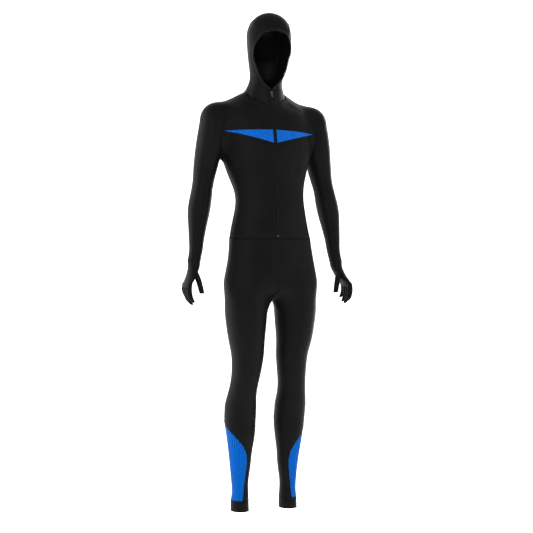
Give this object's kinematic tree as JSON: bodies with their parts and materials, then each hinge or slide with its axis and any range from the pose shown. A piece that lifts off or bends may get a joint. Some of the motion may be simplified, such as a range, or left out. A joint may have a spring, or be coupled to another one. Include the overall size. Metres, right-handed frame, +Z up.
{
  "type": "hooded speed skating suit",
  "caption": "One-piece hooded skating suit in stretch knit, worn and empty, with joined gloves, open face, front zip, calf panels and ankle cuffs",
  "frame": {"origin": "between the wearer's shoulders, where the body holds the suit up; 1.5 m above the wearer's soles", "axes": "+Z up; the front faces -Y; the wearer's left is +X"},
  "size_m": [0.623, 0.2419, 1.7488],
  "materials": {
    "black_knit": "black stretch knit with a soft satin face",
    "blue_knit": "blue knit with fine upright waves",
    "binding": "narrow binding",
    "zip_tape": "woven tape with coil teeth",
    "zip_metal": "dark plated metal"
  },
  "bodies": {
    "suit": {"back": "black_knit", "front_left": "black_knit", "front_right": "black_knit", "sleeve_left": "black_knit", "sleeve_right": "black_knit", "leg_left": "black_knit", "leg_right": "black_knit", "ankle_cuff_left": "black_knit", "ankle_cuff_right": "black_knit", "hood_side_left": "black_knit", "hood_side_right": "black_knit", "hood_crown": "black_knit", "glove_back_left": "black_knit", "glove_back_right": "black_knit", "glove_palm_left": "black_knit", "glove_palm_right": "black_knit", "glove_thumb_left": "black_knit", "glove_thumb_right": "black_knit", "calf_panel_left": "blue_knit", "calf_panel_right": "blue_knit", "face_binding": "binding", "zip_tape_left": "zip_tape", "zip_tape_right": "zip_tape", "zip_slider": "zip_metal", "zip_stop": "zip_metal"},
    "pull": {"zip_pull": "zip_metal"}
  },
  "joints": [
    {"name": "zip_pull_hinge", "type": "hinge", "parent": "suit", "child": "pull", "pos_m": [0, -0.0511, 0.0434], "axis": [-1, 0, 0], "range_deg": [0, 150]}
  ]
}
